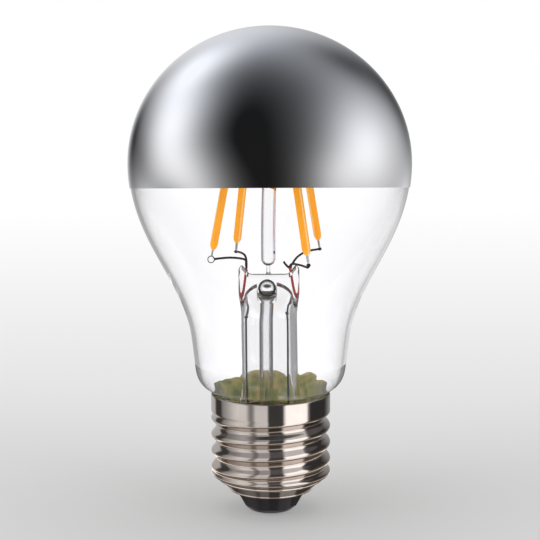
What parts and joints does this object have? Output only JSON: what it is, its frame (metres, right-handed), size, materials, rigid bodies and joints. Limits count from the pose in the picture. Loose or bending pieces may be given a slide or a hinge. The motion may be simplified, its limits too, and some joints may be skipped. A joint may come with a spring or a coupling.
{
  "type": "silver crown bulb",
  "caption": "Clear glass lamp with a mirrored crown, yellow filament strips on a glass stem and a nickel screw cap with a right-hand round thread.",
  "frame": {"origin": "centre of the contact's outer face", "axes": "+Z along the lamp's axis from the contact to the crown, -Y towards the front of the picture"},
  "size_m": [0.0608, 0.0608, 0.1052],
  "materials": {
    "clear_glass": "clear, polished",
    "mirror_coat": "bright mirror",
    "stem_glass": "clear, fire-polished",
    "nickel_plate": "bright nickel plate",
    "black_glass": "glossy, opaque",
    "contact_metal": "plain",
    "cement": "rough, olive green",
    "nickel_wire": "dull, oxidised",
    "seal_wire": "oxidised copper skin",
    "copper_wire": "dull copper",
    "yellow_silicone": "smooth, slightly clear",
    "white_ceramic": "matte",
    "board_green": "solder mask",
    "black_plastic": "moulded",
    "capacitor_sleeve": "shrunk sleeve",
    "resistor_body": "lacquered"
  },
  "bodies": {
    "root": {"glass_bulb": "clear_glass", "mirror_crown": "mirror_coat", "stem_flare": "stem_glass", "exhaust_tube": "stem_glass", "support_rod": "stem_glass", "screw_shell": "nickel_plate", "insulator": "black_glass", "centre_contact": "contact_metal", "cement_ring": "cement", "inner_lead_left": "nickel_wire", "inner_lead_right": "nickel_wire", "branch_wire_left": "nickel_wire", "branch_wire_right": "nickel_wire", "top_wire_front": "nickel_wire", "top_wire_rear": "nickel_wire", "tabs_left_front": "nickel_wire", "tabs_right_front": "nickel_wire", "tabs_left_rear": "nickel_wire", "tabs_right_rear": "nickel_wire", "dumet_seal_left": "seal_wire", "dumet_seal_right": "seal_wire", "outer_lead_left": "copper_wire", "outer_lead_right": "copper_wire", "live_leads": "copper_wire", "neutral_wire": "copper_wire", "coating_left_front": "yellow_silicone", "coating_right_front": "yellow_silicone", "coating_left_rear": "yellow_silicone", "coating_right_rear": "yellow_silicone", "strip_left_front": "white_ceramic", "strip_right_front": "white_ceramic", "strip_left_rear": "white_ceramic", "strip_right_rear": "white_ceramic", "driver_board": "board_green", "bridge_rectifier": "black_plastic", "driver_chip": "black_plastic", "smoothing_capacitor": "capacitor_sleeve", "fuse_resistor": "resistor_body"}
  },
  "joints": []
}
